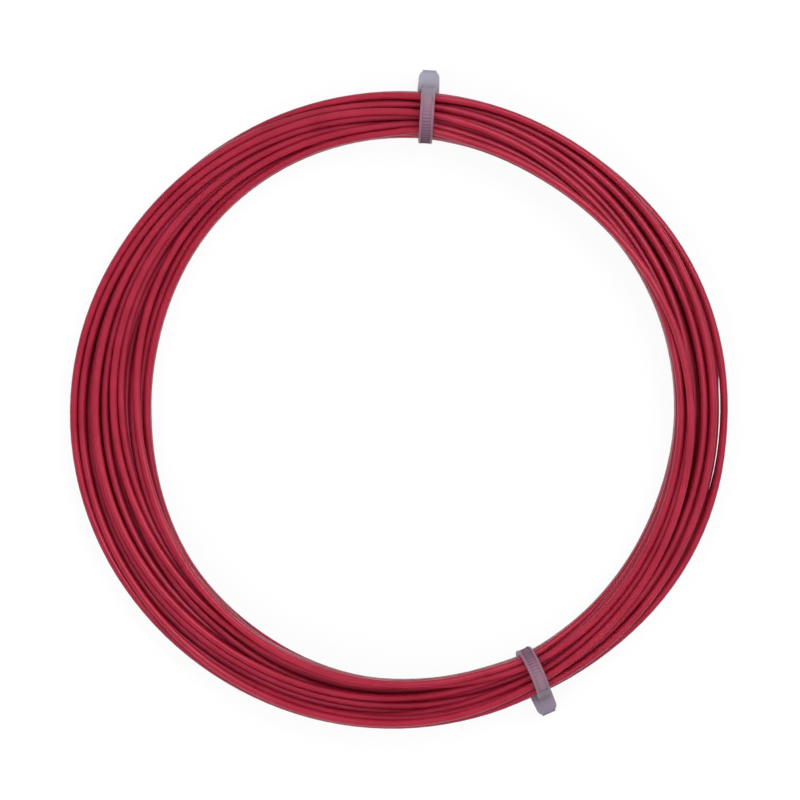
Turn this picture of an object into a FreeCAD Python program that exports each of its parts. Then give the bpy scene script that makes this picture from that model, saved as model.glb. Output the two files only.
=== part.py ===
import FreeCAD, Part
import math
import os

# A bare coil of racket string, lying flat, held by two small cable ties.
# Millimetres, +Z up. The origin is the middle of the coil's box, on the surface that it lies on.

os.makedirs("parts", exist_ok=True)
Vector = FreeCAD.Vector

# String
string_diameter = 1.30
string_sides = 5          # faceted, as wide from a corner to the flat opposite as the string is thick
corner_reach = string_diameter / (1.0 + math.cos(math.pi / string_sides))
outer_loops = 11          # strands side by side round the outside of the bundle
loops_wound = outer_loops - 0.5   # its ends lie under the two ties, half a loop apart
arc_samples = 12          # points taken on each arc when the gap is measured
oval_steps = 360

# Ring: where its centre lies, and the bundle's section at the ties and midway between them
ring_centre_x = -0.15
ring_centre_y = -2.05
upper_tie_angle = 84.7
lower_tie_angle = 297.5
bundle_sections = [
    {"angle": upper_tie_angle, "inner": 47.67, "outer": 55.57, "bottom": 1.00, "top": 10.70},
    {"angle": 190.0, "inner": 43.45, "outer": 57.85, "bottom": 0.00, "top": 6.10},
    {"angle": lower_tie_angle, "inner": 48.05, "outer": 55.31, "bottom": 1.00, "top": 10.90},
    {"angle": 371.0, "inner": 47.90, "outer": 57.60, "bottom": 0.45, "top": 8.90},
]

# Core: the turns inside the outer layer
core_clearance = 0.40
core_sides = 6
core_sections = 24

# Cable tie strap
strap_width = 2.45
strap_thickness = 0.90
web_thickness = 0.55
rail_width = 0.42
rail_bevel = 0.25
tooth_height = 0.24
tooth_pitch = 0.50
strap_clearance = 0.10
strap_foot = 1.50         # length that lies flat under the bundle
entry_turn = 55.0         # how far the strap turns up before it bends out into the head
entry_radius = 1.70
neck_turn = 42.0          # how far over the bundle the strap stays plain before its teeth show
tail_stub = 0.20          # left standing after the tail is cut off

# Cable tie head
head_length = 3.80
head_width = 3.85
head_outer_width = 3.50
head_height = 4.60
head_draft = 0.20
head_plan_corner = 1.15
head_side_corner = 0.70
head_edge = 0.30
head_gusset = 0.65
slot_clearance = 0.06
recess_width = 1.50
recess_depth = 1.20       # below the strap's rails
floor_thickness = 0.35

# Pawl: a toothed tongue on a thin hinge at the mouth of the slot
pawl_width = 1.30
pawl_thickness = 0.48
pawl_teeth = 3
pawl_hinge_radius = 0.30
pawl_hinge_inset = 0.85   # from the head's inner face
pawl_side_gap = 0.09      # between the locking faces when it is engaged
pawl_top_gap = 0.08
pawl_release_angle = 16.0

# How each tie stands: turned from square across the bundle, and drifting sideways with height
tie_stands = {
    "upper_tie": {"section": 0, "skew": 1.7, "lean": 0.0},
    "lower_tie": {"section": 2, "skew": -3.8, "lean": 0.095},
}
lean_level = 11.0         # height at which a leaning tie keeps its place
tie_reach = 15.0          # no part of a tie lies further than this from its own origin
cut_margin = 1.0          # how far a cutting block reaches past what it cuts
tolerance = 1e-4


def polar(radius, angle, height=0.0):
    # A point on a circle about the ring's centre.
    x = ring_centre_x + radius * math.cos(math.radians(angle))
    y = ring_centre_y + radius * math.sin(math.radians(angle))
    return Vector(x, y, height)


def section_sizes(section, inset):
    # Centre radius, centre height, half width and half height of the bundle, drawn in by inset.
    middle = (section["inner"] + section["outer"]) / 2.0
    height = (section["bottom"] + section["top"]) / 2.0
    half_width = (section["outer"] - section["inner"]) / 2.0 - inset
    half_height = (section["top"] - section["bottom"]) / 2.0 - inset
    return middle, height, half_width, half_height


def oval_point(fraction, half_width, half_height):
    # A point a given fraction of the way round an oval, by length, from its lowest point.
    points = []
    for step in range(oval_steps + 1):
        turn = 2.0 * math.pi * step / oval_steps
        points.append((half_width * math.sin(turn), -half_height * math.cos(turn)))
    lengths = [math.dist(points[i], points[i + 1]) for i in range(oval_steps)]
    wanted = (fraction % 1.0) * sum(lengths)
    for i in range(oval_steps):
        if wanted <= lengths[i]:
            part = wanted / lengths[i]
            across = points[i][0] + part * (points[i + 1][0] - points[i][0])
            up = points[i][1] + part * (points[i + 1][1] - points[i][1])
            return across, up
        wanted -= lengths[i]
    return points[-1]


def winding_node(index):
    # Point and direction where the string passes a section for the index-th time.
    section = bundle_sections[index % 4]
    middle, height, half_width, half_height = section_sizes(section, corner_reach)
    fraction = index / 4.0 / outer_loops
    across, up = oval_point(fraction, half_width, half_height)
    angle = section["angle"]
    direction = Vector(-math.sin(math.radians(angle)), math.cos(math.radians(angle)), 0)
    return polar(middle + across, angle, height + up), direction


def biarc(start, start_direction, end, end_direction):
    # Two arcs that leave start and reach end in the given directions, as three-point arcs.
    chord = end - start
    both = start_direction + end_direction
    bend = 1.0 - start_direction.dot(end_direction)
    along = chord.dot(both)
    reach = (math.sqrt(along ** 2 + 2.0 * bend * chord.dot(chord)) - along) / (2.0 * bend)
    first_corner = start + start_direction * reach
    second_corner = end - end_direction * reach
    joint = (first_corner + second_corner) * 0.5
    arcs = []
    for begin, corner, finish in ((start, first_corner, joint), (joint, second_corner, end)):
        weight = begin.distanceToPoint(finish) / (2.0 * reach)
        middle = (begin + corner * (2.0 * weight) + finish) * (1.0 / (2.0 + 2.0 * weight))
        arcs.append(Part.Arc(begin, middle, finish).toShape())
    return arcs


def polygon_wire(points):
    return Part.makePolygon(points + [points[0]])


def tube_profile(start, direction):
    # The string's faceted section, square to its direction.
    sideways = Vector(0, 0, 1).cross(direction).normalize()
    upward = direction.cross(sideways)
    corners = []
    for corner in range(string_sides):
        turn = 2.0 * math.pi * corner / string_sides
        reach = sideways * math.cos(turn) + upward * math.sin(turn)
        corners.append(start + reach * corner_reach)
    return polygon_wire(corners)


def segment_distance(point, start, end):
    along = end - start
    share = (point - start).dot(along) / along.dot(along)
    share = min(1.0, max(0.0, share))
    return point.distanceToPoint(start + along * share)


def least_gap(points, points_per_loop):
    # Least distance between one pass of the string and the others, less its own width.
    nearest = 1e9
    reach = points_per_loop // 12
    for first in range(len(points)):
        other = first + points_per_loop
        while other - reach < len(points) - 1:
            for second in range(max(0, other - reach), min(len(points) - 1, other + reach)):
                gap = segment_distance(points[first], points[second], points[second + 1])
                nearest = min(nearest, gap)
            other += points_per_loop
    return nearest - 2.0 * corner_reach


def make_winding():
    # The outer layer: one unbroken string that works its way once round the bundle.
    spans = int(round(loops_wound * 4))
    nodes = [winding_node(index) for index in range(spans + 1)]
    arcs = []
    for index in range(spans):
        arcs += biarc(nodes[index][0], nodes[index][1], nodes[index + 1][0], nodes[index + 1][1])
    start, start_direction = nodes[0]
    end, end_direction = nodes[-1]
    tail_start = start - start_direction * string_diameter
    tail_end = end + end_direction * string_diameter
    edges = [Part.makeLine(tail_start, start)] + arcs + [Part.makeLine(end, tail_end)]
    path = Part.Wire(edges)
    tube = path.makePipeShell([tube_profile(tail_start, start_direction)], True, False)
    points = []
    for arc in arcs:
        points += arc.discretize(arc_samples + 1)[:-1]
    points.append(end)
    section_area = Part.Face(tube_profile(tail_start, start_direction)).Area
    radii = [arc.Curve.Radius for arc in arcs]
    print("winding: length %.1f mm, %.1f loops" % (path.Length, loops_wound))
    print("winding: radii from %.1f to %.1f mm" % (min(radii), max(radii)))
    print("winding: least gap to itself %.3f mm" % least_gap(points, 8 * arc_samples))
    print("winding: volume %.1f, section times length %.1f" % (tube.Volume, section_area * path.Length))
    return tube


def blended_section(angle):
    # The bundle's section at any angle, eased between the four measured ones.
    ring = bundle_sections + [dict(bundle_sections[0], angle=bundle_sections[0]["angle"] + 360.0)]
    for before, after in zip(ring, ring[1:]):
        if before["angle"] <= angle <= after["angle"]:
            share = (angle - before["angle"]) / (after["angle"] - before["angle"])
            ease = (1.0 - math.cos(math.pi * share)) / 2.0
            return {key: before[key] + ease * (after[key] - before[key]) for key in before}


def make_core():
    # The inner turns, as one closed ring that fills the winding.
    inset = 2.0 * corner_reach + core_clearance
    wires = []
    for number in range(core_sections):
        angle = upper_tie_angle + 360.0 * number / core_sections
        middle, height, half_width, half_height = section_sizes(blended_section(angle), inset)
        corners = []
        for side in range(core_sides):
            turn = 2.0 * math.pi * (side + 0.5) / core_sides
            radius = middle + half_width * math.cos(turn)
            corners.append(polar(radius, angle, height + half_height * math.sin(turn)))
        wires.append(polygon_wire(corners))
    core = Part.makeLoft(wires, True, False, True)
    return core


# A strap's track is a list of lines and arcs in the plane (outward, up). It follows the strap's
# bundle side, with the bundle on its left. Offsets are to the right, away from the bundle.

def add_line(track, length):
    place, heading = track_end(track)
    track.append({"kind": "line", "start": place, "heading": heading, "length": length})


def add_arc(track, radius, turn):
    # Positive turn is to the left.
    place, heading = track_end(track)
    side = math.radians(heading + (90.0 if turn > 0 else -90.0))
    centre = (place[0] + radius * math.cos(side), place[1] + radius * math.sin(side))
    length = abs(math.radians(turn)) * radius
    track.append({"kind": "arc", "centre": centre, "radius": radius, "heading": heading,
                  "turn": turn, "length": length})


def track_end(track):
    last = track[-1]
    if last["kind"] == "start":
        return last["place"], last["heading"]
    return track_place(last, last["length"], 0.0)


def track_place(piece, distance, offset):
    # Place and heading at a distance along one piece, moved off it by offset.
    if piece["kind"] == "line":
        heading = math.radians(piece["heading"])
        across = piece["start"][0] + distance * math.cos(heading) + offset * math.sin(heading)
        up = piece["start"][1] + distance * math.sin(heading) - offset * math.cos(heading)
        return (across, up), piece["heading"]
    sign = 1.0 if piece["turn"] > 0 else -1.0
    heading = piece["heading"] + sign * math.degrees(distance / piece["radius"])
    side = math.radians(heading - 90.0 * sign)
    radius = piece["radius"] + sign * offset
    across = piece["centre"][0] + radius * math.cos(side)
    up = piece["centre"][1] + radius * math.sin(side)
    return (across, up), heading


def strap_track(section):
    # Up out of the head, over the bundle, down its inner side, flat under it and out through the slot.
    middle, height, half_width, half_height = section_sizes(section, -strap_clearance)
    low_radius = half_width - strap_foot / 2.0
    top_centre = height + half_height - half_width
    low_centre = strap_thickness + low_radius
    slot_top = strap_thickness + (low_radius + entry_radius) * (1.0 - math.cos(math.radians(entry_turn)))
    head_bottom = slot_top - strap_thickness - recess_depth - floor_thickness
    head_top = head_bottom + head_height
    track = [{"kind": "start", "place": (half_width, head_top), "heading": 90.0}]
    add_line(track, top_centre - head_top)
    add_arc(track, half_width, 180.0)
    add_line(track, top_centre - low_centre)
    add_arc(track, low_radius, 90.0)
    add_line(track, strap_foot)
    add_arc(track, low_radius, entry_turn)
    add_arc(track, entry_radius, -entry_turn)
    slot_start = track_end(track)[0][0]
    add_line(track, half_width + head_length + tail_stub - slot_start)
    return track[1:], {"inner_face": half_width, "slot_top": slot_top, "slot_start": slot_start,
                       "bottom": head_bottom, "top": head_top}


def flat_vector(place):
    return Vector(place[0], 0, place[1])


def drift(height, lean):
    # How far sideways a leaning tie has moved at a height.
    return lean * (height - lean_level)


def widen(outline, from_width, to_width, lean):
    # Spreads a flat outline sideways. In a leaning tie both sides drift with height.
    slack = abs(lean) * tie_reach
    plate = Part.Face(outline)
    plate.translate(Vector(0, from_width - slack, 0))
    block = plate.extrude(Vector(0, to_width - from_width + 2.0 * slack, 0))
    if lean == 0:
        return block
    corners = []
    for width, height in ((from_width, -tie_reach), (to_width, -tie_reach),
                          (to_width, tie_reach), (from_width, tie_reach)):
        corners.append(Vector(-tie_reach, width + drift(height, lean), height))
    slab = Part.Face(polygon_wire(corners)).extrude(Vector(2.0 * tie_reach, 0, 0))
    return block.common(slab)


def track_edges(track, offset):
    # The track's lines and arcs, offset, as edges.
    edges = []
    for piece in track:
        ends = [flat_vector(track_place(piece, share * piece["length"], offset)[0])
                for share in (0.0, 0.5, 1.0)]
        if piece["kind"] == "line":
            edges.append(Part.makeLine(ends[0], ends[2]))
        else:
            edges.append(Part.Arc(ends[0], ends[1], ends[2]).toShape())
    return edges


def band(track, near, far, from_width, to_width, lean):
    # The strap's outline between two offsets, given a width.
    inside = track_edges(track, near)
    outside = track_edges(track, far)
    first = Part.makeLine(inside[0].firstVertex(True).Point, outside[0].firstVertex(True).Point)
    last = Part.makeLine(inside[-1].lastVertex(True).Point, outside[-1].lastVertex(True).Point)
    outline = Part.Wire(Part.__sortEdges__(inside + [last] + outside + [first]))
    return widen(outline, from_width, to_width, lean)


def place_along(track, distance, offset):
    for piece in track:
        if distance <= piece["length"]:
            return track_place(piece, distance, offset)[0]
        distance -= piece["length"]
    return track_place(track[-1], track[-1]["length"], offset)[0]


def tooth_starts(track):
    # Where each tooth begins, counted back from the cut end so that the slot holds whole teeth.
    total = sum(piece["length"] for piece in track)
    count = int(total / tooth_pitch)
    return [total - (count - number) * tooth_pitch for number in range(count)]


def toothed_band(track, from_width, to_width, lean):
    # The channel between the rails: its floor is a row of saw teeth that lock against pulling back.
    inside = track_edges(track, 0.0)
    total = sum(piece["length"] for piece in track)
    saw = [place_along(track, 0.0, web_thickness)]
    for start in tooth_starts(track):
        saw.append(place_along(track, start, web_thickness))
        saw.append(place_along(track, start, web_thickness + tooth_height))
    saw.append(place_along(track, total, web_thickness))
    corners = [flat_vector(place) for place in saw]
    outside = [Part.makeLine(corners[i], corners[i + 1]) for i in range(len(corners) - 1)
               if corners[i].distanceToPoint(corners[i + 1]) > tolerance]
    first = Part.makeLine(inside[0].firstVertex(True).Point, corners[0])
    last = Part.makeLine(inside[-1].lastVertex(True).Point, corners[-1])
    outline = Part.Wire(Part.__sortEdges__(inside + [last] + outside + [first]))
    return widen(outline, from_width, to_width, lean)


def bevel_rail(rail, track, side, lean):
    # Takes off the rail's outer corner, all along the strap.
    corner_line = Part.Wire(track_edges(track, strap_thickness))
    chosen = []
    for edge in rail.Edges:
        middle = edge.valueAt((edge.FirstParameter + edge.LastParameter) / 2.0)
        above = Part.Vertex(flat_vector((middle.x, middle.z)))
        on_side = abs(middle.y - drift(middle.z, lean) - side) < tolerance
        if on_side and above.distToShape(corner_line)[0] < tolerance:
            chosen.append(edge)
    return rail.makeChamfer(rail_bevel, chosen)


def make_strap(track, lean):
    half = strap_width / 2.0
    channel = half - rail_width
    near_rail = band(track, 0.0, strap_thickness, -half, -channel, lean)
    far_rail = band(track, 0.0, strap_thickness, channel, half, lean)
    neck_arc = dict(track[1], turn=neck_turn, length=math.radians(neck_turn) * track[1]["radius"])
    neck = band([track[0], neck_arc], 0.0, strap_thickness, -channel, channel, lean)
    middle = toothed_band(track, -channel, channel, lean)
    rails = [bevel_rail(near_rail, track, -half, lean), bevel_rail(far_rail, track, half, lean)]
    return middle.fuse(rails + [neck]).removeSplitter()


def rounded_outline(corners, radii, make_point):
    # A closed outline with straight sides and rounded corners.
    edges = []
    ends = []
    count = len(corners)
    for i in range(count):
        before = Vector(*corners[i - 1], 0)
        here = Vector(*corners[i], 0)
        after = Vector(*corners[(i + 1) % count], 0)
        back = (before - here).normalize()
        ahead = (after - here).normalize()
        half_angle = back.getAngle(ahead) / 2.0
        setback = radii[i] / math.tan(half_angle)
        bisector = (back + ahead).normalize()
        centre = here + bisector * (radii[i] / math.sin(half_angle))
        middle = centre - bisector * radii[i]
        ends.append((here + back * setback, middle, here + ahead * setback))
    for i in range(count):
        enter, middle, leave = ends[i]
        if radii[i] > 0:
            edges.append(Part.Arc(make_point(enter), make_point(middle), make_point(leave)).toShape())
        following = ends[(i + 1) % count][0]
        edges.append(Part.makeLine(make_point(leave), make_point(following)))
    return Part.Wire(edges)


def head_block(size, lean):
    # The moulded block: its plan and its side view, each with rounded corners, taken together.
    near = size["inner_face"]
    far = near + head_length
    half = head_width / 2.0
    far_half = head_outer_width / 2.0
    aside = drift((size["bottom"] + size["top"]) / 2.0, lean)
    plan = rounded_outline([(near, -half), (far, -far_half), (far, far_half), (near, half)],
                           [head_edge, head_plan_corner, head_plan_corner, head_edge],
                           lambda p: Vector(p.x, p.y + aside, size["bottom"] - cut_margin))
    side = rounded_outline([(near, size["bottom"]), (far, size["bottom"] + head_draft),
                            (far, size["top"] - head_draft), (near, size["top"])],
                           [head_edge, head_side_corner, head_side_corner, 0.0],
                           lambda p: Vector(p.x, -tie_reach, p.y))
    upright = Part.Face(plan).extrude(Vector(0, 0, head_height + 2.0 * cut_margin))
    across = Part.Face(side).extrude(Vector(0, 2.0 * tie_reach, 0))
    return upright.common(across)


def hinge_place(size):
    # The pawl's hinge line, seen from the side.
    across = size["inner_face"] + pawl_hinge_inset
    up = size["slot_top"] - strap_thickness - pawl_top_gap - pawl_hinge_radius
    return across, up


def make_head(track, size, lean):
    block = head_block(size, lean)
    # A gusset runs up behind the strap's root.
    root = size["inner_face"] + strap_thickness
    low = size["top"] - head_draft
    gusset_points = [(root, low), (root + head_gusset, low), (root, size["top"] + head_gusset)]
    half = strap_width / 2.0
    gusset_wire = polygon_wire([flat_vector(place) for place in gusset_points])
    block = block.fuse(widen(gusset_wire, rail_bevel - half, half - rail_bevel, lean))
    # The slot lets the strap through, following its bend at the mouth.
    half_slot = half + slot_clearance
    through = track[-3:-1] + [dict(track[-1], length=track[-1]["length"] + cut_margin)]
    slot = band(through, -slot_clearance, strap_thickness + slot_clearance, -half_slot, half_slot, lean)
    # The recess under the slot holds the pawl and opens at the exit face.
    hinge = hinge_place(size)
    seat = pawl_hinge_radius + slot_clearance
    floor = size["bottom"] + floor_thickness
    ceiling = size["slot_top"] - strap_thickness + slot_clearance
    exit_side = size["inner_face"] + head_length + cut_margin
    recess = rounded_outline([(hinge[0] - seat, floor), (exit_side, floor), (exit_side, ceiling),
                              (hinge[0] - seat, ceiling)],
                             [seat, 0.0, 0.0, 0.0],
                             lambda p: Vector(p.x, drift(hinge[1], lean), p.y))
    pocket = widen(recess, -recess_width / 2.0, recess_width / 2.0, 0)
    return block.cut([slot, pocket]).removeSplitter()


def make_pawl(track, size, lean):
    # A tongue whose teeth stand in the strap's teeth, on a round hinge bead.
    total = sum(piece["length"] for piece in track)
    tail = track[-1]
    tail_begins = total - tail["length"]
    starts = [size["slot_start"] + s - tail_begins for s in tooth_starts(track) if s > tail_begins]
    face_limit = size["inner_face"] + head_length - tooth_pitch
    locks = [s - pawl_side_gap for s in starts if s < face_limit][-pawl_teeth:]
    underside = size["slot_top"] - web_thickness
    peak = underside - pawl_top_gap
    valley = peak - tooth_height
    hinge = hinge_place(size)
    top = [(hinge[0], hinge[1] + pawl_hinge_radius), (locks[0] - tooth_pitch, valley)]
    for lock in locks:
        top.append((lock, peak))
        top.append((lock, valley))
    tip = top.pop()
    low_tip = (tip[0], valley - pawl_thickness)
    low_root = (hinge[0], hinge[1] - pawl_hinge_radius)
    outline = top + [low_tip, low_root]
    half = pawl_width / 2.0
    tongue = widen(polygon_wire([flat_vector(place) for place in outline]), -half, half, 0)
    bead_start = Vector(hinge[0], -half, hinge[1])
    bead = Part.makeCylinder(pawl_hinge_radius, pawl_width, bead_start, Vector(0, 1, 0))
    pawl = tongue.fuse(bead).removeSplitter()
    pawl.translate(Vector(0, drift(hinge[1], lean), 0))
    return pawl


def stand_in_place(shape, section, skew):
    # Turns a tie's part from the plane (outward, width, up) to its place on the ring.
    middle = section_sizes(section, 0.0)[0]
    turned = shape.copy()
    turned.rotate(Vector(0, 0, 0), Vector(0, 0, 1), section["angle"] + skew)
    turned.translate(polar(middle, section["angle"]))
    return turned


def write_node(name, shape):
    solid = shape.Solids[0] if len(shape.Solids) == 1 else shape
    if solid.Volume < 0:
        solid.reverse()
    print("%s: valid %s, solids %d, volume %.2f" % (name, solid.isValid(), len(shape.Solids), solid.Volume))
    solid.exportStep("parts/%s.step" % name)


def make_tie(name):
    stand = tie_stands[name]
    section = bundle_sections[stand["section"]]
    skew = stand["skew"]
    lean = stand["lean"]
    track, size = strap_track(section)
    write_node(name + "_strap", stand_in_place(make_strap(track, lean), section, skew))
    write_node(name + "_head", stand_in_place(make_head(track, size, lean), section, skew))
    write_node(name + "_pawl", stand_in_place(make_pawl(track, size, lean), section, skew))
    # The joint's place and axis, for whoever moves the pawl.
    hinge = hinge_place(size)
    hinge_point = Vector(hinge[0], drift(hinge[1], lean), hinge[1])
    mark = stand_in_place(Part.Vertex(hinge_point), section, skew).Point
    turn = math.radians(section["angle"] + skew)
    print("%s: hinge at (%.4f, %.4f, %.4f)" % (name, mark.x, mark.y, mark.z))
    print("%s: hinge axis (%.6f, %.6f, 0), released at %.0f degrees"
          % (name, -math.sin(turn), math.cos(turn), pawl_release_angle))
    flat_middle = strap_width / 2.0 - (rail_width + rail_bevel) / 2.0
    foot_point = Vector(0, flat_middle + drift(0, lean), 0)
    foot = stand_in_place(Part.Vertex(foot_point), section, skew).Point
    print("%s: underside of one rail at (%.4f, %.4f, 0)" % (name, foot.x, foot.y))


write_node("string_coil", make_winding())
write_node("string_core", make_core())
make_tie("upper_tie")
make_tie("lower_tie")
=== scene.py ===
import math

import bpy
import numpy as np
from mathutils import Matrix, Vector


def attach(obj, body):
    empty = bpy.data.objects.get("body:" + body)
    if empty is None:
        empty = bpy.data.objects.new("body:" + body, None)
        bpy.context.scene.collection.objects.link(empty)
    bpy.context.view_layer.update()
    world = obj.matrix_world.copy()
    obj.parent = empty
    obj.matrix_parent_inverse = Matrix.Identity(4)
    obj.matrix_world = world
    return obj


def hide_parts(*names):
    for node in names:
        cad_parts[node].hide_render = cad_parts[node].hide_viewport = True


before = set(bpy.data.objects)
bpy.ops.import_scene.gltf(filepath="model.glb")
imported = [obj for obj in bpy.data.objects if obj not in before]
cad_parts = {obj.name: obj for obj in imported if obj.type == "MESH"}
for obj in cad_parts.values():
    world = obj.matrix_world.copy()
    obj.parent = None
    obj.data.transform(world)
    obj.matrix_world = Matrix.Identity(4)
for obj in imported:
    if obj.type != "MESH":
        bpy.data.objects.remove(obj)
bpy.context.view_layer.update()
mm = 0.001
tiny = 1e-9                     # the least length or gain that counts
farOff = 1000                   # millimetres, so far that no strand meets another
scene = bpy.context.scene
print("frame loaded:", len(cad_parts), "nodes")


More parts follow.
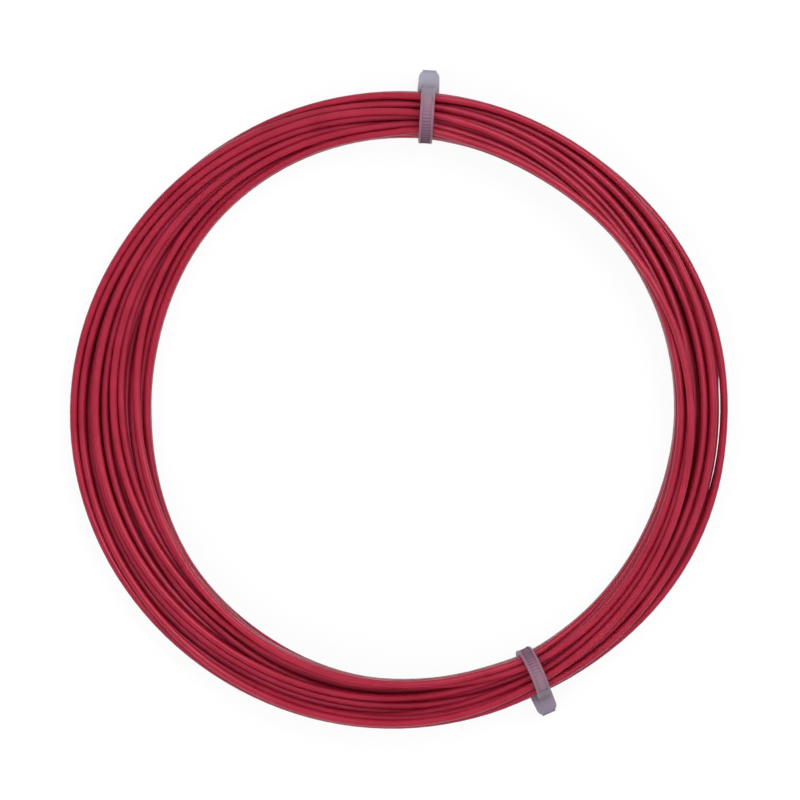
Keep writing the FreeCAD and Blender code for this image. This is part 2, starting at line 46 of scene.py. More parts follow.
# The string, in millimetres and degrees. Radii and angles are taken about the ring's centre,
# and angles run anticlockwise from +X.
stringCoil = {
    "diameter": 1.30,
    "length": 11.9,             # metres
    "turns": 37,                # strands under each tie
    "stations": 44,             # points a turn, the first under the upper tie
    "lowerTieStation": 26,
    "ringCentre": (-0.15, -2.05),
    "tuckedStations": 2,        # how far each end runs on past its tie
    "sides": 16,                # round the mesh
    "stepsPerPoint": 3,         # along the mesh, from one point to the next
    # The inside of the upper and the lower strap. Middle is a radius, and flat is half the width
    # of the flat floor.
    "straps": [
        {"angle": 84.7, "middle": 51.62, "halfWidth": 4.05,
         "bottom": 0.90, "top": 10.80, "flat": 0.75},
        {"angle": 297.5, "middle": 51.68, "halfWidth": 3.73,
         "bottom": 0.90, "top": 11.00, "flat": 0.75},
    ],
    # angle, and how tall the bundle stands there against its height at the ties
    "loft": [(0, 0.86), (11, 0.84), (60, 0.95), (84.7, 1.0), (120, 0.9), (150, 0.72), (190, 0.58),
             (230, 0.7), (262, 0.88), (297.5, 1.0), (330, 0.92), (360, 0.86)],
    # angle, inner radius, outer radius
    "outline": [(0, 48.15, 57.45), (10, 48.2, 57.6), (22, 48.2, 57.5), (37, 48.1, 56.8),
                (50, 47.4, 56.0), (62, 47.15, 55.75), (84.7, 47.6, 55.75), (105, 47.25, 55.65),
                (120, 46.6, 55.75), (135, 45.85, 56.0), (150, 44.7, 56.6), (165, 43.7, 57.4),
                (185, 43.4, 57.85), (202, 44.2, 57.75), (217, 45.15, 57.3), (240, 45.95, 56.55),
                (262, 47.15, 56.0), (285, 47.4, 55.45), (297.5, 47.7, 55.4), (308, 47.9, 55.8),
                (315, 47.85, 56.2), (322, 47.8, 56.75), (330, 47.7, 57.3), (338, 47.65, 57.6),
                (346, 47.8, 57.65), (356, 48.15, 57.4)],
    # the gap that shows on the right, from one angle to another
    "slit": {"from": 346, "to": 9, "radius": 56.0, "width": 0.14},
    # how the strands find their places under a tie
    "packing": {
        "seeds": (93, 278),     # upper tie, lower tie
        "rounds": 2500,
        "startHalfWidth": 3,    # where the strands start, before they are pushed apart
        "startHeights": (1.6, 10),
        "thinnest": 0.6,        # the strands start as thin as this, against the diameter
        "growth": 0.44,
        "grownAt": 0.6,         # the share of the rounds that are done by then
        "strength": 0.3,        # how hard strands that are too near push each other off
    },
    # what it costs a strand in view to take a place under a tie
    "choosing": {
        "sideCost": 1.6,        # for each millimetre off its own radius
        "heightCost": 0.25,     # for each millimetre below the top
        "topHeightCost": 0.5,   # the same for rank 1 and above
        "topHeight": 10.5,
        "lowCost": 0.2,         # for each millimetre off lowHeight, where it runs low
        "lowHeight": 4,
        "swapCost": 3,          # for its next place to be swapped
    },
    # How the strands settle between the ties. As above, a name with At gives a share of the rounds.
    "settling": {
        "rounds": 420,
        "smoothing": 3.5,
        "lastSmoothing": 0.6,
        "lastSmoothingAt": 0.85,
        "fall": 0.03,           # how far a strand on top comes down in a round
        "hiddenFall": 0.06,     # the same for the others
        "lowFall": 0.18,        # and where a strand runs low
        "slowFall": 0.4,        # against the fall before
        "slowFallAt": 0.8,
        "pull": 0.35,           # how hard a strand in view is pulled to its way
        "slowPull": 0.2,
        "slowPullAt": 0.7,
        "thinnest": 0.75,
        "growth": 0.27,
        "grownAt": 0.5,
        "sweeps": 6,
        "strength": 0.5,
        "lastSweeps": 60,
        "lastStrength": 0.3,
        "lift": 0.8,            # how far above the pile a strand in view starts
        "liftPerRank": 1.6,
        "liftStations": 3,      # stations from a tie to the full lift
    },
    # Strands that show between the ties. A higher rank lies on top. Each way is (angle, radius).
    "leftStrands": {
        "outerUnder": (-1, [(84.7, 54.85), (105, 54.95), (120, 55.0), (135, 55.2), (150, 55.8),
                            (170, 56.9), (185, 57.2), (205, 57.0), (230, 56.2), (255, 55.6),
                            (280, 55.0), (297.5, 54.7)]),
        "outermost": (1, [(84.7, 53.1), (95, 53.2), (105, 53.6), (120, 54.45), (135, 55.25),
                          (150, 55.95), (160, 56.5), (170, 56.95), (185, 57.2), (200, 57.1),
                          (215, 56.7), (230, 56.2), (245, 55.9), (260, 55.6), (275, 55.3),
                          (285, 54.95), (297.5, 54.7)]),
        "brightOuter": (2, [(84.7, 51.75), (100, 52.3), (110, 52.75), (120, 53.25), (130, 53.9),
                            (140, 54.35), (150, 54.85), (160, 55.3), (170, 55.5), (190, 55.8),
                            (200, 55.85), (220, 55.75), (240, 55.4), (260, 55.1), (275, 54.75),
                            (285, 54.2), (297.5, 53.3)]),
        "emerging": (2, [(84.7, 51.1), (110, 51.9), (128, 52.4), (140, 53.05), (150, 53.15),
                         (170, 53.2), (190, 53.2), (200, 53.0), (210, 52.7), (220, 52.25),
                         (230, 51.75), (240, 51.3), (250, 50.95), (260, 50.65), (270, 50.4),
                         (280, 50.1), (297.5, 49.6)]),
        "middle": (1, [(84.7, 50.45), (100, 50.8), (110, 51.35), (120, 51.65), (130, 51.95),
                       (140, 52.0), (150, 51.85), (170, 51.65), (200, 51.4), (225, 51.05),
                       (245, 50.7), (270, 49.6), (297.5, 48.9)]),
        "innerBright": (2, [(84.7, 49.25), (100, 49.65), (110, 50.15), (120, 50.6), (130, 50.8),
                            (140, 50.85), (150, 50.8), (160, 50.6), (170, 50.35), (190, 49.7),
                            (200, 49.2), (210, 48.7), (220, 48.4), (230, 48.25), (250, 48.05),
                            (270, 47.95), (297.5, 48.6)]),
        "slidingUnder": (1, [(84.7, 48.7), (120, 49.9), (145, 50.3), (157, 50.15), (165, 49.65),
                             (170, 49.3), (176, 48.9), (185, 48.3), (195, 47.95), (205, 47.65),
                             (215, 47.5), (230, 47.45), (250, 47.6), (297.5, 48.5)]),
        "fanOver": (3, [(84.7, 48.5), (100, 48.95), (115, 49.35), (125, 49.3), (135, 49.0),
                        (145, 48.45), (150, 48.0), (160, 47.35), (170, 46.5), (180, 45.75),
                        (190, 45.4), (200, 45.5), (215, 46.4), (230, 47.0), (260, 47.8),
                        (297.5, 48.5)]),
        "fanMiddle": (0, [(84.7, 48.3), (120, 48.6), (140, 47.5), (150, 46.7), (160, 46.0),
                          (170, 45.5), (180, 45.1), (195, 45.2), (210, 46.2), (230, 47.0),
                          (260, 47.9), (297.5, 48.5)]),
        "fanUnder": (0, [(84.7, 48.2), (120, 48.2), (140, 46.7), (150, 45.9), (160, 45.3),
                         (170, 45.0), (180, 44.8), (190, 44.75), (202, 45.2), (217, 46.1),
                         (240, 47.0), (262, 47.9), (297.5, 48.5)]),
        "innerLow": (0, [(84.7, 48.3), (150, 48.2), (160, 48.25), (170, 48.05), (180, 47.8),
                         (190, 47.55), (200, 47.3), (230, 47.2), (297.5, 48.6)]),
        "innerLower": (0, [(84.7, 48.2), (150, 47.6), (178, 47.1), (190, 46.75), (200, 46.5),
                           (210, 46.6), (230, 47.0), (297.5, 48.4)]),
        "innermostCrossing": (4, [(84.7, 48.2), (105, 47.95), (120, 47.3), (135, 46.5),
                                  (150, 45.35), (165, 44.35), (180, 44.05), (190, 44.3),
                                  (200, 45.0), (210, 45.85), (220, 46.5), (226, 46.95),
                                  (232, 47.3), (245, 47.6), (265, 47.9), (297.5, 48.4)]),
        "innermost": (0, [(84.7, 48.2), (105, 47.9), (120, 47.3), (135, 46.5), (150, 45.35),
                          (165, 44.35), (185, 44.05), (202, 44.85), (217, 45.8), (240, 46.6),
                          (262, 47.8), (297.5, 48.4)]),
        "lowBand": (0, [(84.7, 52.3), (120, 53.0), (140, 53.7), (160, 54.35), (180, 54.6),
                        (225, 54.6), (245, 54.65), (255, 54.35), (265, 53.8), (275, 53.15),
                        (285, 52.6), (297.5, 52.05)]),
        "lowBandInner": (0, [(84.7, 51.7), (120, 52.4), (150, 53.2), (180, 53.9), (205, 53.6),
                             (225, 53.0), (240, 52.5), (255, 52.05), (265, 51.7), (275, 51.4),
                             (285, 51.1), (297.5, 50.75)]),
    },
    "rightStrands": {
        "outsideFirst": (2, [(297.5, 54.9), (310, 55.25), (315, 55.6), (320, 56.0), (325, 56.4),
                             (330, 56.75), (335, 57.0), (345, 57.1), (355, 56.85), (370, 56.95),
                             (390, 56.6), (405, 56.0), (420, 55.4), (444.7, 54.9)]),
        "outsideThen": (1, [(297.5, 54.7), (315, 54.9), (330, 55.4), (340, 56.0), (350, 56.75),
                            (360, 56.85), (375, 56.95), (385, 56.85), (395, 56.5), (405, 56.0),
                            (415, 55.5), (430, 55.1), (444.7, 54.9)]),
        "slitInner": (3, [(297.5, 54.65), (310, 54.7), (320, 54.95), (340, 54.85), (360, 54.8),
                          (370, 54.8), (390, 55.2), (405, 55.55), (412, 55.55), (420, 55.35),
                          (444.7, 54.9)]),
        "steady": (3, [(297.5, 53.3), (330, 53.3), (350, 53.25), (370, 53.2), (390, 53.35),
                       (405, 53.6), (420, 53.85), (430, 54.0), (444.7, 54.3)]),
        "diver": (4, [(297.5, 53.0), (310, 52.8), (320, 52.4), (330, 52.0), (340, 51.55),
                      (350, 51.1), (360, 50.75), (370, 50.5), (380, 50.25), (384, 50.05),
                      (387, 49.5), (390, 49.15), (395, 48.7), (400, 48.35), (405, 48.1),
                      (410, 47.85), (420, 47.75), (444.7, 48.4)]),
        "riser": (2, [(297.5, 52.0), (305, 51.75), (315, 51.2), (325, 50.85), (335, 50.55),
                      (345, 50.4), (357, 50.5), (365, 50.75), (380, 51.25), (390, 51.5),
                      (405, 51.85), (420, 52.4), (430, 52.85), (444.7, 53.1)]),
        "innerRiser": (2, [(297.5, 50.7), (305, 50.4), (315, 49.95), (335, 49.6), (360, 49.2),
                           (385, 48.95), (393, 48.9), (400, 48.95), (410, 49.6), (420, 50.2),
                           (430, 50.8), (444.7, 51.75)]),
        "between": (1, [(297.5, 51.3), (340, 50.3), (375, 49.9), (390, 50.0), (400, 50.2),
                        (415, 50.9), (425, 51.35), (444.7, 52.3)]),
        "lastRiser": (1, [(297.5, 49.5), (325, 48.8), (365, 48.6), (400, 48.3), (410, 48.25),
                          (417, 48.65), (425, 49.05), (435, 49.8), (444.7, 50.4)]),
    },
    "outsideStrands": ("outsideFirst", "outsideThen"),      # these two run outside the slit
    # where strands run below their neighbours, from one angle to another
    "lowStretches": {"lowBand": (150, 240), "lowBandInner": (150, 240),
                     "innermostCrossing": (224, 298), "middle": (250, 298)},
    "lowRank": -1.5,            # their rank there
}

turns = stringCoil["turns"]
stations = stringCoil["stations"]
lowerTie = stringCoil["lowerTieStation"]
tucked = stringCoil["tuckedStations"]
upperStrap, lowerStrap = stringCoil["straps"]
leftStrands = stringCoil["leftStrands"]
rightStrands = stringCoil["rightStrands"]
radiusOfString = stringCoil["diameter"] / 2
stationStep = 360 / stations
stationAngles = upperStrap["angle"] + stationStep * np.arange(stations)


def outlineAt(angles):
    # the photographed inner and outer edge of the bundle
    known, inner, outer = np.array(stringCoil["outline"], float).T
    known = np.concatenate([known - 360, known, known + 360])
    turned = np.mod(angles, 360)
    return np.interp(turned, known, np.tile(inner, 3)), np.interp(turned, known, np.tile(outer, 3))


def thicknessAt(step, stage):
    # strands start thin and grow, so that they find room without jamming
    grown = min(1, step / (stage["grownAt"] * stage["rounds"]))
    return stringCoil["diameter"] * (stage["thinnest"] + stage["growth"] * grown)


def keepInStrap(across, up, strap):
    # the strap's inside: round over the top, straight sides, rounded low corners
    width = strap["halfWidth"] - radiusOfString
    topCentre = strap["top"] - strap["halfWidth"]
    cornerRadius = strap["halfWidth"] - strap["flat"]
    cornerHeight = strap["bottom"] + cornerRadius
    across = np.clip(across, -width, width)
    reach = np.hypot(across, up - topCentre)
    over = (up > topCentre) & (reach > width)
    share = np.where(over, width / np.maximum(reach, tiny), 1)
    across = across * share
    up = np.where(over, topCentre + (up - topCentre) * share, up)
    corner = np.sign(across) * strap["flat"]
    reach = np.hypot(across - corner, up - cornerHeight)
    most = cornerRadius - radiusOfString
    over = (up < cornerHeight) & (np.abs(across) > strap["flat"]) & (reach > most)
    share = np.where(over, most / np.maximum(reach, tiny), 1)
    across = np.where(over, corner + (across - corner) * share, across)
    up = np.where(over, cornerHeight + (up - cornerHeight) * share, up)
    return across, np.maximum(up, strap["bottom"] + radiusOfString)


def packStrap(strap, seed):
    # places for all the strands inside one strap, grown until they fill it
    packing = stringCoil["packing"]
    chance = np.random.default_rng(seed)
    across = chance.uniform(-packing["startHalfWidth"], packing["startHalfWidth"], turns)
    up = chance.uniform(*packing["startHeights"], turns)
    notItself = np.eye(turns) * farOff      # so that no strand pushes itself
    for step in range(packing["rounds"]):
        du = across[:, None] - across[None]
        dz = up[:, None] - up[None]
        apart = np.hypot(du, dz) + notItself
        push = np.maximum(0, thicknessAt(step, packing) - apart) * packing["strength"] / apart
        across, up = keepInStrap(across + (push * du).sum(1), up + (push * dz).sum(1), strap)
    return np.stack([across + strap["middle"], up], 1)


def runsLow(name, angle):
    first, last = stringCoil["lowStretches"].get(name, (0, 0))
    return first < angle < last


def takePlaces(places, strands, end):
    # each strand that shows takes the free place nearest to it, the high ones first
    choosing = stringCoil["choosing"]
    taken = {}
    for name, (rank, way) in sorted(strands.items(), key=lambda item: -item[1][0]):
        angle, radius = way[end]
        best = None
        for place in range(turns):
            if place in taken.values():
                continue
            cost = choosing["sideCost"] * abs(places[place, 0] - radius)
            if rank < 0 or runsLow(name, angle):
                cost += choosing["lowCost"] * abs(places[place, 1] - choosing["lowHeight"])
            else:
                heightCost = choosing["topHeightCost" if rank >= 1 else "heightCost"]
                cost += (choosing["topHeight"] - places[place, 1]) * heightCost
            if best is None or cost < best[0]:
                best = (cost, place)
        taken[name] = best[1]
    return taken


def matchPlaces(here, there, fixed):
    # where each strand goes at the next tie: those in view as given, the others the shortest way
    matched = dict(fixed)
    restHere = sorted((i for i in range(turns) if i not in matched), key=lambda i: here[i, 0])
    restThere = sorted((i for i in range(turns) if i not in matched.values()),
                       key=lambda i: there[i, 0])
    cost = ((here[restHere][:, None] - there[restThere][None]) ** 2).sum(2)
    order = list(range(len(restHere)))
    better = True
    while better:
        better = False
        for i in range(len(order)):
            for j in range(i + 1, len(order)):
                now = cost[i, order[i]] + cost[j, order[j]]
                if cost[i, order[j]] + cost[j, order[i]] < now - tiny:
                    order[i], order[j] = order[j], order[i]
                    better = True
    for i, place in enumerate(order):
        matched[restHere[i]] = restThere[place]
    return matched


def joinTurns(left, right, upperPlaces, lowerPlaces, leftShown, rightShown):
    # swaps neighbours until one unbroken string runs through every place
    swapCost = stringCoil["choosing"]["swapCost"]
    while True:
        ring = {}
        rings = 0
        for place in range(turns):
            if place in ring:
                continue
            while place not in ring:
                ring[place] = rings
                place = right[left[place]]
            rings += 1
        if rings == 1:
            return
        best = None
        for i in range(turns):
            for j in range(i + 1, turns):
                for ends, places, shown, oneRing, otherRing in (
                        (right, upperPlaces, rightShown, ring[right[i]], ring[right[j]]),
                        (left, lowerPlaces, leftShown, ring[i], ring[j])):
                    if oneRing == otherRing:
                        continue
                    cost = ((places[ends[i]] - places[ends[j]]) ** 2).sum()
                    cost += swapCost * ((i in shown) + (j in shown))
                    if best is None or cost < best[0]:
                        best = (cost, ends, i, j)
        _, ends, i, j = best
        ends[i], ends[j] = ends[j], ends[i]


def runString():
    # For each turn, its place under the upper tie, its left strand's name, its place under
    # the lower tie and its right strand's name. The names are there only for strands in view.
    upperSeed, lowerSeed = stringCoil["packing"]["seeds"]
    upperPlaces = packStrap(upperStrap, upperSeed)
    lowerPlaces = packStrap(lowerStrap, lowerSeed)
    leftFrom = takePlaces(upperPlaces, leftStrands, 0)
    leftTo = takePlaces(lowerPlaces, leftStrands, -1)
    rightFrom = takePlaces(lowerPlaces, rightStrands, 0)
    rightTo = takePlaces(upperPlaces, rightStrands, -1)
    left = matchPlaces(upperPlaces, lowerPlaces,
                       {leftFrom[name]: leftTo[name] for name in leftStrands})
    right = matchPlaces(lowerPlaces, upperPlaces,
                        {rightFrom[name]: rightTo[name] for name in rightStrands})
    joinTurns(left, right, upperPlaces, lowerPlaces, leftFrom.values(), rightFrom.values())
    leftName = {place: name for name, place in leftFrom.items()}
    rightName = {place: name for name, place in rightFrom.items()}

    # the string starts at the lowest place that no strand in view leads to
    seen = [right[place] for place in rightName]
    order = [min((place for place in range(turns) if place not in seen),
                 key=lambda place: upperPlaces[place, 1])]
    while len(order) < turns:
        order.append(right[left[order[-1]]])
    return [(upperPlaces[place], leftName.get(place),
             lowerPlaces[left[place]], rightName.get(left[place])) for place in order]


def betweenTies(here, hereStrap, there, thereStrap, share, angle):
    # a plain way from one tie's place to the next, as wide and as high as the bundle is there
    ease = 0.5 - 0.5 * math.cos(math.pi * share)
    fromSide = (here[0] - hereStrap["middle"]) / hereStrap["halfWidth"]
    toSide = (there[0] - thereStrap["middle"]) / thereStrap["halfWidth"]
    side = fromSide + (toSide - fromSide) * ease
    inner, outer = outlineAt(np.array([angle]))
    loftAngles, loftShares = zip(*stringCoil["loft"])
    tall = np.interp(angle % 360, loftAngles, loftShares)
    up = here[1] + (there[1] - here[1]) * ease
    lowest = upperStrap["bottom"] + radiusOfString
    return ((inner[0] + outer[0]) / 2 + side * (outer[0] - inner[0]) / 2,
            radiusOfString + (up - lowest) * tall)


def firstLay():
    # Every turn at every station, before the strands settle. Turn 0 is the string's first end,
    # and real tells where there is string.
    run = runString()
    real = np.zeros((turns + 1, stations), bool)
    real[0, stations - tucked:] = True
    real[1:turns] = True
    real[turns, :lowerTie + 1 + tucked] = True
    at = np.zeros((turns + 1, stations, 2))
    way = np.full((turns + 1, stations), np.nan)
    rank = np.zeros((turns + 1, stations))
    outside = np.zeros((turns + 1, stations), bool)
    for turn, (upperPlace, leftName, lowerPlace, rightName) in enumerate(run, 1):
        sectors = [(0, lowerTie, upperPlace, upperStrap, lowerPlace, lowerStrap,
                    leftStrands, leftName)]
        if turn < turns:
            nextPlace = run[turn][0]
            sectors.append((lowerTie, stations, lowerPlace, lowerStrap, nextPlace, upperStrap,
                            rightStrands, rightName))
            outside[turn, lowerTie:] = rightName in stringCoil["outsideStrands"]
        for first, last, fromPlace, fromStrap, toPlace, toStrap, strands, name in sectors:
            for station in range(first, min(last + 1, stations)):
                angle = stationAngles[station]
                share = (station - first) / (last - first)
                at[turn, station] = betweenTies(fromPlace, fromStrap, toPlace, toStrap,
                                                share, angle)
                if name:
                    height, points = strands[name]
                    rank[turn, station] = stringCoil["lowRank"] if runsLow(name, angle) else height
                    way[turn, station] = np.interp(angle, *zip(*points))
    at[0, stations - tucked:] = run[0][0]
    at[turns, lowerTie + 1:lowerTie + 1 + tucked] = at[turns, lowerTie]
    return at, real, way, rank, outside


def layString():
    # Starts from the photographed ways and lets the strands settle against each other.
    settling = stringCoil["settling"]
    rounds = settling["rounds"]
    at, real, way, rank, outside = firstLay()
    shown = ~np.isnan(way)
    way = np.nan_to_num(way)
    at[..., 0] = np.where(shown, way, at[..., 0])
    # strands in view start above the pile, so that they come to lie on it
    number = np.arange(stations)
    fromTie = np.minimum(np.minimum(number, np.abs(number - lowerTie)), stations - number)
    full = np.minimum(1, fromTie / settling["liftStations"])
    lift = full[None] * (rank * settling["liftPerRank"] + settling["lift"])
    at[..., 1] += np.where(shown, lift, 0)

    # unused places stand far off and 7 mm apart, so that nothing meets them
    flat = at.reshape(-1, 2)
    used = np.flatnonzero(real.reshape(-1))
    unused = np.flatnonzero(~real.reshape(-1))
    flat[unused] = farOff + 7.0 * np.arange(len(unused))[:, None]
    notItself = np.eye(turns + 1)[None] * farOff

    bend = np.zeros((len(used) - 2, len(used)))
    for row in range(len(used) - 2):
        bend[row, row:row + 3] = (1, -2, 1)
    stiff = bend.T @ bend
    smooth = np.linalg.inv(np.eye(len(used)) + settling["smoothing"] * stiff)
    lastSmooth = np.linalg.inv(np.eye(len(used)) + settling["lastSmoothing"] * stiff)
    fall = np.where(shown & (rank >= 1), settling["fall"], settling["hiddenFall"])
    fall = np.where(rank == stringCoil["lowRank"], settling["lowFall"], fall) * real

    inner, outer = outlineAt(stationAngles)
    slit = stringCoil["slit"]
    turned = stationAngles % 360
    inSlit = ((turned > slit["from"]) | (turned < slit["to"]))[None] & real
    slitOut = slit["radius"] + slit["width"] / 2 + radiusOfString
    slitIn = slit["radius"] - slit["width"] / 2 - radiusOfString

    def hold(at):
        # keeps the strands in the outline, off the slit, above the floor and in the straps
        radius, up = at[..., 0], at[..., 1]
        kept = np.clip(radius, inner + radiusOfString, outer - radiusOfString)
        radius[real] = kept[real]
        up[real] = np.maximum(up, radiusOfString)[real]
        outsideSlit = inSlit & outside
        radius[outsideSlit] = np.maximum(radius[outsideSlit], slitOut)
        insideSlit = inSlit & ~outside
        radius[insideSlit] = np.minimum(radius[insideSlit], slitIn)
        for station, strap in ((0, upperStrap), (lowerTie, lowerStrap)):
            here = real[:, station]
            across, height = keepInStrap(radius[here, station] - strap["middle"],
                                         up[here, station], strap)
            radius[here, station] = across + strap["middle"]
            up[here, station] = height

    def spread(at, wanted, sweeps, strength):
        # pushes strands that are nearer than wanted off each other, at every station
        for _ in range(sweeps):
            radius, up = at[..., 0].T, at[..., 1].T
            dr = radius[:, :, None] - radius[:, None]
            dz = up[:, :, None] - up[:, None]
            apart = np.sqrt(dr ** 2 + dz ** 2) + notItself
            push = np.maximum(0, wanted - apart) * strength / apart
            at[..., 0] += (push * dr).sum(2).T
            at[..., 1] += (push * dz).sum(2).T
            hold(at)

    for step in range(rounds):
        at[..., 1] -= fall * (1 if step < settling["slowFallAt"] * rounds else settling["slowFall"])
        pull = settling["pull" if step < settling["slowPullAt"] * rounds else "slowPull"]
        at[..., 0] = np.where(shown, at[..., 0] + pull * (way - at[..., 0]), at[..., 0])
        flat = at.reshape(-1, 2)
        early = step < settling["lastSmoothingAt"] * rounds
        flat[used] = (smooth if early else lastSmooth) @ flat[used]
        at = flat.reshape(turns + 1, stations, 2)
        spread(at, thicknessAt(step, settling), settling["sweeps"], settling["strength"])
    spread(at, stringCoil["diameter"], settling["lastSweeps"], settling["lastStrength"])
    return used - stations, at.reshape(-1, 2)[used]


def makeString(material):
    number, place = layString()
    # a curve of order 3 keeps 3/4 of each point and 1/8 of either neighbour, so it runs inside them
    inside = 0.75 + 0.25 * math.cos(math.radians(stationStep))
    angles = np.radians(upperStrap["angle"] + stationStep * number)
    radius = place[:, 0] / inside
    points = np.stack([stringCoil["ringCentre"][0] + radius * np.cos(angles),
                       stringCoil["ringCentre"][1] + radius * np.sin(angles), place[:, 1]], 1) * mm
    curve = bpy.data.curves.new("string", "CURVE")
    curve.dimensions = "3D"
    curve.resolution_u = stringCoil["stepsPerPoint"]
    curve.bevel_depth = radiusOfString * mm
    curve.bevel_resolution = stringCoil["sides"] // 2 - 2
    curve.use_fill_caps = True
    spline = curve.splines.new("NURBS")
    spline.points.add(len(points) - 1)
    for point, control in zip(points, spline.points):
        control.co = (*point, 1)
    spline.order_u = 3
    spline.use_endpoint_u = True
    piece = bpy.data.objects.new("string", curve)
    scene.collection.objects.link(piece)
    curve.materials.append(material)
    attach(piece, "coil")
    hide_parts("string_coil", "string_core")
    laid = np.linalg.norm(np.diff(points, axis=0), axis=1).sum()
    print("string laid: %.3f m through its control points" % laid)


def newMaterial(name):
    material = bpy.data.materials.new(name)
    material.use_nodes = True
    nodes = material.node_tree.nodes
    return material, nodes, material.node_tree.links, nodes["Principled BSDF"]


def addNoise(nodes, links, scale, detail):
    where = nodes.new("ShaderNodeTexCoord")
    noise = nodes.new("ShaderNodeTexNoise")
    noise.inputs["Scale"].default_value = scale
    noise.inputs["Detail"].default_value = detail
    links.new(where.outputs["Object"], noise.inputs["Vector"])
    return noise.outputs["Fac"]


def addRamp(nodes, links, source, stops):
    colours = nodes.new("ShaderNodeValToRGB")
    while len(colours.color_ramp.elements) < len(stops):
        colours.color_ramp.elements.new(0.5)
    for element, (place, colour) in zip(colours.color_ramp.elements, stops):
        element.position = place
        element.color = (*colour, 1)
    links.new(source, colours.inputs["Fac"])
    return colours.outputs["Color"]


def addBump(nodes, links, shader, finish):
    bump = nodes.new("ShaderNodeBump")
    bump.inputs["Distance"].default_value = finish["bumpDepth"]
    links.new(addNoise(nodes, links, finish["bumpScale"], finish["bumpDetail"]),
              bump.inputs["Height"])
    links.new(bump.outputs["Normal"], shader.inputs["Normal"])


polyester = {
    "colours": [(0.30, (0.34, 0.013, 0.039)), (0.52, (0.39, 0.018, 0.049)),
                (0.75, (0.44, 0.023, 0.059))],
    "mottleScale": 160,
    "mottleDetail": 3,
    "roughness": 0.27,
    "shine": 0.85,
    "shineTint": (1.0, 0.35, 0.45, 1),
    "clearness": 1.0,           # how much light passes through the string
    "clearDepth": 0.004,        # metres
    "clearColours": (1.0, 0.35, 0.5),   # how deep red, green and blue go, against clearDepth
    "bumpScale": 2600,
    "bumpDetail": 4,
    "bumpDepth": 0.000003,
}


def stringMaterial():
    material, nodes, links, shader = newMaterial("redPolyester")
    mottle = addNoise(nodes, links, polyester["mottleScale"], polyester["mottleDetail"])
    links.new(addRamp(nodes, links, mottle, polyester["colours"]), shader.inputs["Base Color"])
    shader.inputs["Roughness"].default_value = polyester["roughness"]
    shader.inputs["Specular IOR Level"].default_value = polyester["shine"]
    shader.inputs["Specular Tint"].default_value = polyester["shineTint"]
    shader.inputs["Subsurface Weight"].default_value = polyester["clearness"]
    shader.inputs["Subsurface Radius"].default_value = polyester["clearColours"]
    shader.inputs["Subsurface Scale"].default_value = polyester["clearDepth"]
    addBump(nodes, links, shader, polyester)
    return material


nylon = {
    # by distance from the ring's centre: over the string, the red that shines through is painted in
    # as painted light, the inner end is darker as painted shade where the strap bends down, and the
    # head is clearer
    "colours": {
        "upper": [(0.10, (0.26, 0.15, 0.21)), (0.45, (0.36, 0.19, 0.28)),
                  (0.68, (0.40, 0.23, 0.31)), (0.77, (0.40, 0.31, 0.38)),
                  (0.92, (0.44, 0.42, 0.52))],
        "lower": [(0.10, (0.33, 0.19, 0.29)), (0.45, (0.38, 0.20, 0.28)),
                  (0.68, (0.35, 0.21, 0.27)), (0.77, (0.30, 0.23, 0.29)),
                  (0.92, (0.30, 0.25, 0.33))],
    },
    "from": 45,                 # millimetres from the ring's centre, where the colours start
    "to": 60,
    "mottle": 0.14,
    "mottleScale": 420,
    "mottleDetail": 3,
    "roughness": 0.42,
    "opacity": 0.85,            # of each surface that the eye passes
    "bumpScale": 1500,
    "bumpDetail": 3,
    "bumpDepth": 0.00001,
}


def tieMaterial(tie):
    material, nodes, links, shader = newMaterial("nylon_" + tie)
    centre = stringCoil["ringCentre"]
    where = nodes.new("ShaderNodeTexCoord")
    fromCentre = nodes.new("ShaderNodeVectorMath")
    fromCentre.operation = "MULTIPLY_ADD"
    fromCentre.inputs[1].default_value = (1, 1, 0)
    fromCentre.inputs[2].default_value = (-centre[0] * mm, -centre[1] * mm, 0)
    links.new(where.outputs["Object"], fromCentre.inputs[0])
    distance = nodes.new("ShaderNodeVectorMath")
    distance.operation = "LENGTH"
    links.new(fromCentre.outputs["Vector"], distance.inputs[0])
    along = nodes.new("ShaderNodeMapRange")
    along.inputs["From Min"].default_value = nylon["from"] * mm
    along.inputs["From Max"].default_value = nylon["to"] * mm
    links.new(distance.outputs["Value"], along.inputs["Value"])
    mottled = nodes.new("ShaderNodeMath")
    mottled.operation = "MULTIPLY_ADD"
    mottled.inputs[1].default_value = nylon["mottle"]
    links.new(addNoise(nodes, links, nylon["mottleScale"], nylon["mottleDetail"]),
              mottled.inputs[0])
    links.new(along.outputs["Result"], mottled.inputs[2])
    # the ramp paints in the string's red shining through the strap, and painted shade at the
    # strap's inner end
    links.new(addRamp(nodes, links, mottled.outputs[0], nylon["colours"][tie]),
              shader.inputs["Base Color"])
    shader.inputs["Roughness"].default_value = nylon["roughness"]
    shader.inputs["Alpha"].default_value = nylon["opacity"]
    addBump(nodes, links, shader, nylon)
    return material


def dressTies():
    looks = {tie: tieMaterial(tie) for tie in nylon["colours"]}
    for name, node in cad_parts.items():
        if "tie" in name:
            node.data.materials.clear()
            node.data.materials.append(looks[name.split("_")[0]])
    print("ties dressed")


studio = {
    "floorSize": 1.6,
    "floorColour": (0.11, 0.11, 0.11),
    "floorGlow": 0.907,         # so that the floor shows white, and gives back plain light
    "worldStrength": 0.55,
    "key": {"energy": 7.6, "place": (0.56, 0.53, 1.24), "size": 0.8},
    "fill": {"energy": 4.2, "place": (-0.62, -0.42, 0.85), "size": 0.9},
}


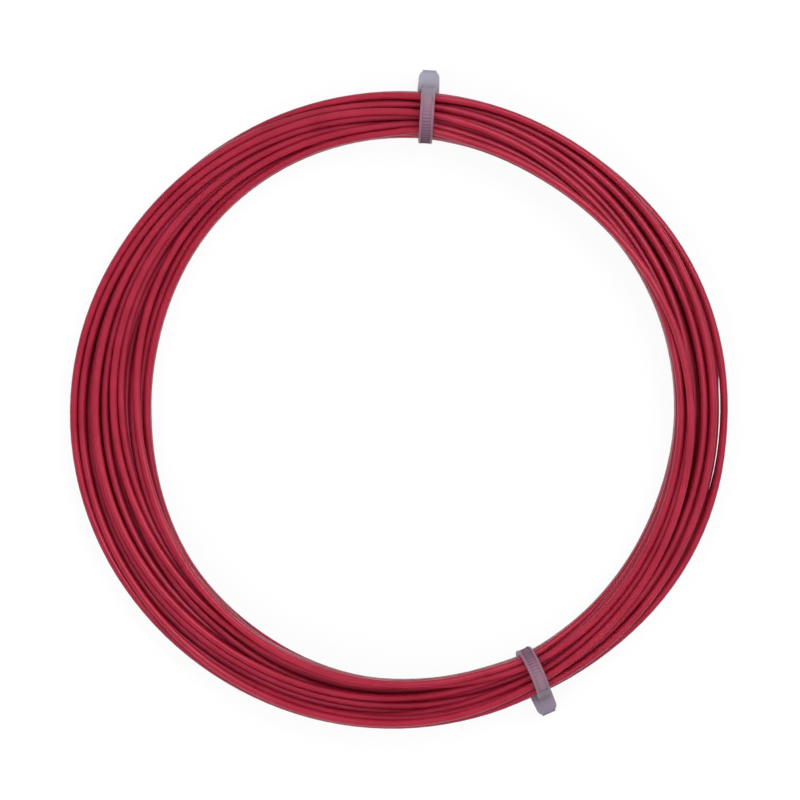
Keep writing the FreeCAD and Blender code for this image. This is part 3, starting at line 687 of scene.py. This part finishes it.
def cameraOnly(nodes, links):
    # 1 where the camera, a reflection or a see-through part looks, 0 where light bounces
    path = nodes.new("ShaderNodeLightPath")
    seen = path.outputs["Is Camera Ray"]
    for name in ("Is Glossy Ray", "Is Transmission Ray"):
        either = nodes.new("ShaderNodeMath")
        either.operation = "MAXIMUM"
        links.new(seen, either.inputs[0])
        links.new(path.outputs[name], either.inputs[1])
        seen = either.outputs[0]
    return seen


def makeFloor():
    half = studio["floorSize"] / 2
    corners = [(-half, -half, 0), (half, -half, 0), (half, half, 0), (-half, half, 0)]
    mesh = bpy.data.meshes.new("floor")
    mesh.from_pydata(corners, [], [(0, 1, 2, 3)])
    floor = bpy.data.objects.new("floor", mesh)
    scene.collection.objects.link(floor)
    material = bpy.data.materials.new("whiteFloor")
    material.use_nodes = True
    nodes = material.node_tree.nodes
    links = material.node_tree.links
    nodes.clear()
    matt = nodes.new("ShaderNodeBsdfDiffuse")
    matt.inputs["Color"].default_value = (*studio["floorColour"], 1)
    glow = nodes.new("ShaderNodeEmission")
    scale = nodes.new("ShaderNodeMath")
    scale.operation = "MULTIPLY"
    scale.inputs[1].default_value = studio["floorGlow"]
    links.new(cameraOnly(nodes, links), scale.inputs[0])
    links.new(scale.outputs[0], glow.inputs["Strength"])
    both = nodes.new("ShaderNodeAddShader")
    links.new(matt.outputs[0], both.inputs[0])
    links.new(glow.outputs[0], both.inputs[1])
    output = nodes.new("ShaderNodeOutputMaterial")
    links.new(both.outputs[0], output.inputs["Surface"])
    mesh.materials.append(material)


def makeWorld():
    world = bpy.data.worlds.new("studio")
    scene.world = world
    world.use_nodes = True
    back = world.node_tree.nodes["Background"]
    back.inputs["Color"].default_value = (1, 1, 1, 1)
    back.inputs["Strength"].default_value = studio["worldStrength"]


def addLamp(name):
    settings = studio[name]
    light = bpy.data.lights.new(name, "AREA")
    light.energy = settings["energy"]
    light.size = settings["size"]
    lamp = bpy.data.objects.new(name, light)
    scene.collection.objects.link(lamp)
    lamp.location = settings["place"]
    lamp.rotation_euler = (-Vector(settings["place"])).to_track_quat("-Z", "Y").to_euler()
    return lamp


view = {
    "pixelsPerMillimetre": 5.714,
    "originPixel": (400.4, 397.8),
    "imagePixels": 800,
    "lens": 400,
    "sensor": 36,
    "sharpHeight": 4.5,         # millimetres above the floor, where that scale holds
    "nearest": 0.01,            # metres
    "farthest": 10,
}


def makeCamera():
    data = bpy.data.cameras.new("camera")
    data.lens = view["lens"]
    data.sensor_width = view["sensor"]
    camera = bpy.data.objects.new("camera", data)
    scene.collection.objects.link(camera)
    shown = view["imagePixels"] / view["pixelsPerMillimetre"] * mm
    centre = view["imagePixels"] / 2
    right = (centre - view["originPixel"][0]) / view["pixelsPerMillimetre"] * mm
    up = (view["originPixel"][1] - centre) / view["pixelsPerMillimetre"] * mm
    away = shown * view["lens"] / view["sensor"] + view["sharpHeight"] * mm
    camera.location = (right, up, away)
    data.clip_start = view["nearest"]
    data.clip_end = view["farthest"]
    scene.camera = camera


makeCamera()
makeString(stringMaterial())
dressTies()
makeFloor()
makeWorld()
addLamp("key")
fill = addLamp("fill")
fill.visible_glossy = False     # it lights the far side, and leaves each strand one bright line
scene.view_settings.view_transform = "Standard"
print("studio ready")
